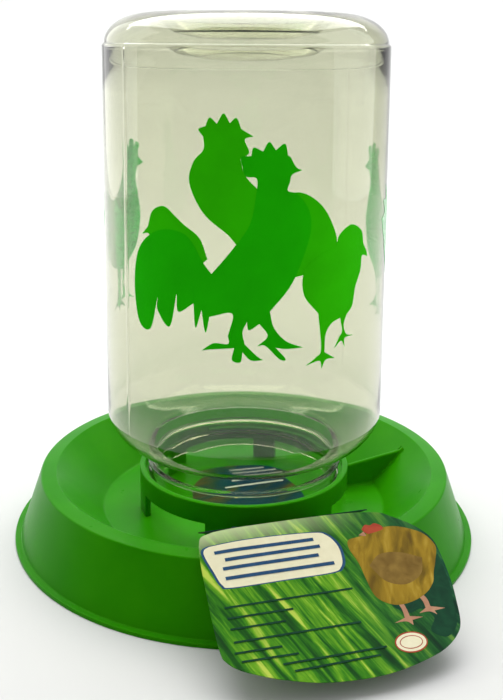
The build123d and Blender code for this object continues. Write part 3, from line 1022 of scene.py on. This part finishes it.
def feathers():
    """Printed tan plumage, mottled along the body."""
    return coated_card(
        "card_feathers",
        [(0.30, (0.120, 0.070, 0.004)), (0.45, (0.220, 0.135, 0.006)), (0.60, (0.340, 0.210, 0.012)),
         (0.75, (0.480, 0.330, 0.040))],
        (5.0, 18.0), math.radians(20))


def backs():
    """The card's inner stretch: dark teal with soft brown and yellow bands."""
    return coated_card(
        "card_back",
        [(0.30, (0.002, 0.040, 0.090)), (0.48, (0.002, 0.035, 0.060)), (0.56, (0.020, 0.045, 0.030)),
         (0.68, (0.090, 0.060, 0.020)), (0.80, (0.200, 0.150, 0.040))],
        (14.0, 46.0), math.radians(70))


def grass():
    """Printed blades of grass slanting over the flap: dark teal at the right, and the colour mixed towards
    pale near the fold at the upper left.
    """
    look = Look("card_grass")
    sheet = look.sheet()
    lay = look.mapping(sheet, vector_type="TEXTURE", Rotation=(0, 0, math.radians(-24)), Scale=(6, 62, 1))
    blades = look.noise(lay, Scale=1.0, Detail=5.0, Roughness=0.62, Distortion=0.35)
    blades = look.spread(blades, From_Min=0.30, From_Max=0.70)
    lit = look.ramp(blades, [
        (0.05, (0.0010, 0.030, 0.004)), (0.30, (0.006, 0.090, 0.003)), (0.50, (0.035, 0.210, 0.004)),
        (0.68, (0.140, 0.380, 0.010)), (0.88, (0.500, 0.640, 0.080))])
    dark = look.ramp(blades, [
        (0.2, (0.0010, 0.022, 0.014)), (0.6, (0.004, 0.070, 0.034)), (0.9, (0.030, 0.190, 0.030))])
    split = look.add("ShaderNodeSeparateXYZ")
    look.link(sheet, split.inputs["Vector"])
    across, down = split.outputs["X"], split.outputs["Y"]
    colour = look.mix(look.spread(across, From_Min=5.0, From_Max=62.0), lit, dark)
    # The colour turns pale near the fold and towards the flap's left edge.
    pale_upper_left = look.add("ShaderNodeMath", operation="MULTIPLY")
    look.link(look.spread(down, From_Min=12.0, From_Max=1.0, To_Max=0.75), pale_upper_left.inputs[0])
    look.link(look.spread(across, From_Min=30.0, From_Max=-30.0), pale_upper_left.inputs[1])
    pale = look.add("ShaderNodeRGB")
    pale.outputs["Color"].default_value = (0.66, 0.78, 0.42, 1)
    look.feed("Base Color", look.mix(pale_upper_left.outputs["Value"], colour, pale.outputs["Color"]))
    paper(look)
    return look.material


def flap_prints():
    """What is printed over the flap's grass, lowest first, as (name, outline, material)."""
    blue = plain_print("card_blue", (0.014, 0.060, 0.150), (0.025, 0.090, 0.200))
    cream = plain_print("card_cream", (0.820, 0.770, 0.540), (0.880, 0.830, 0.600))
    red = plain_print("card_red", (0.360, 0.040, 0.020), (0.450, 0.070, 0.030))
    skin = plain_print("card_skin", (0.420, 0.200, 0.120), (0.520, 0.280, 0.170))
    deep = plain_print("card_deep", (0.001, 0.036, 0.016), (0.004, 0.062, 0.024))
    wing = plain_print("card_wing", (0.160, 0.090, 0.014), (0.260, 0.160, 0.030))
    layers = [
        ("card_panel_border", grown(PANEL, 1.025), blue),
        ("card_panel", grown(PANEL, 0.985), cream),
        ("card_art_shade", SHADE, deep),
        ("card_art_hen_legs", HEN_LEGS, skin),
        ("card_art_hen_body", HEN_BODY, feathers()),
        ("card_art_hen_wing", HEN_WING, wing),
        ("card_art_hen_comb", HEN_COMB, red),
        ("card_art_hen_beak", HEN_BEAK, skin),
        ("card_seal_edge", ellipse(SEAL, 7.6, 4.9), red),
        ("card_seal", ellipse(SEAL, 7.0, 4.3), cream),
        ("card_seal_ring", ellipse(SEAL, 5.4, 3.1), red),
        ("card_seal_middle", ellipse(SEAL, 5.0, 2.7), cream),
    ]
    for number, ends in enumerate(PANEL_RULES):
        layers.append((f"card_rule_{number}", rule_outline(PANEL_BAR, *ends), blue))
    for number, ends in enumerate(GRASS_RULES):
        layers.append((f"card_line_{number}", rule_outline(GRASS_BAR, *ends), deep))
    return layers


def card_flap():
    """The printed flap over the rim, with its blank panel, hen and seal."""
    sheet = card_piece("card_flap_sheet", FLAP, flap_point, grass())
    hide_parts("card_flap")
    pieces = [sheet]
    for number, (name, outline, material) in enumerate(flap_prints()):
        lift = FIRST_FILM + FILM_STEP * number
        pieces.append(card_piece(name, outline, flap_point, material, lift, CARD_FILM, 20))
    for piece in pieces:
        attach(piece, "card_flap")


def card_inside():
    """The card's round end under the jar and the stretch that climbs through the front window."""
    material = backs()
    head = card_piece("card_head_sheet", HEAD, head_point, material)
    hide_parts("card_head")
    leg = card_piece("card_leg_sheet", LEG, leg_point, material)
    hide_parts("card_leg")
    sheets = [head, leg]
    pale = plain_print("card_pale", (0.620, 0.640, 0.600), (0.700, 0.720, 0.680))
    yellow = plain_print("card_yellow", (0.640, 0.560, 0.120), (0.720, 0.640, 0.160))
    for number, (ends, ink) in enumerate(zip(HEAD_RULES, (pale, pale, pale, yellow))):
        bar = rule_outline(HEAD_BAR, *ends)
        sheets.append(card_piece(f"card_head_line_{number}", bar, head_point, ink, HEAD_FILM, CARD_FILM, 6))
    for sheet in sheets:
        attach(sheet, "tray")


# ---------------------------------------------------------------- studio

def floor():
    """A wide pale floor that curves up behind."""
    look = Look("studio_floor")
    stops = [(0.3, (0.72, 0.72, 0.718)), (0.7, (0.75, 0.75, 0.748))]
    look.feed("Base Color", look.ramp(look.noise(look.place(), Scale=3.0, Detail=2.0), stops))
    look.tune(Roughness=0.75)
    half_width = 4
    near = 2.5
    far = 0.9
    bend = 0.6
    bend_steps = 10
    high = 3.0
    profile = [(-near, 0), (far, 0)]
    for step in range(1, bend_steps + 1):
        turn = math.pi / 2 * step / bend_steps
        profile.append((far + bend * math.sin(turn), bend - bend * math.cos(turn)))
    profile.append((far + bend, high))
    vertices = [(side, y, z) for y, z in profile for side in (-half_width, half_width)]
    faces = [(2 * n, 2 * n + 1, 2 * n + 3, 2 * n + 2) for n in range(len(profile) - 1)]
    new_mesh("floor", vertices, faces, look.material, 60)


def area_light(name, place, aim, size, power):
    """A soft white rectangular lamp that points at a place."""
    lamp = bpy.data.lights.new(name, "AREA")
    lamp.shape = "RECTANGLE"
    lamp.size, lamp.size_y = size
    lamp.energy = power
    holder = bpy.data.objects.new(name, lamp)
    holder.location = place
    holder.rotation_euler = (Vector(aim) - Vector(place)).to_track_quat("-Z", "Y").to_euler()
    bpy.context.scene.collection.objects.link(holder)


def studio():
    """Soft light: a large lamp overhead and a little behind, broad dim sides, and one for the backdrop."""
    world = bpy.data.worlds.new("studio")
    world.use_nodes = True
    sky = world.node_tree.nodes["Background"]
    sky.inputs["Color"].default_value = (1, 1, 1, 1)
    sky.inputs["Strength"].default_value = 0.33
    bpy.context.scene.world = world
    middle = (0, 0, 0.1)
    area_light("lamp_top", (0, 0.38, 1.2), middle, (1.6, 1.3), 20)
    area_light("lamp_left", (-1.0, 0.55, 0.45), middle, (1.3, 1.5), 5.5)
    area_light("lamp_right", (1.15, 0.05, 0.45), middle, (1.1, 1.5), 4.8)
    area_light("lamp_backdrop", (0, 1.0, 1.1), (0, 1.5, 0.15), (2.4, 0.3), 9)
    bpy.context.scene.view_settings.view_transform = "Standard"


def light_bounces():
    """Enough bounces for light to pass through every wall of the jar and come back."""
    cycles = bpy.context.scene.cycles
    cycles.transparent_max_bounces = 32
    cycles.transmission_bounces = 20
    cycles.max_bounces = 24


def camera():
    """The camera: near the height of the jar's top, looking a little down, with a slight roll."""
    lens = bpy.data.cameras.new("camera")
    lens.sensor_width = 36
    lens.lens = 51.68
    lens.shift_x = 0.0087
    lens.shift_y = -0.184
    lens.clip_start = 0.01
    holder = bpy.data.objects.new("camera", lens)
    holder.location = (0, -0.5391, 0.2694)
    tilt = Matrix.Rotation(math.radians(90 - 10.11), 3, "X")
    roll = Matrix.Rotation(math.radians(0.375), 3, "Z")
    holder.rotation_euler = (tilt @ roll).to_euler()
    bpy.context.scene.collection.objects.link(holder)
    bpy.context.scene.camera = holder


camera()
light_bounces()
studio()
floor()
tray(plastic_green())
jar(clear_plastic())
prints()
card_inside()
card_flap()
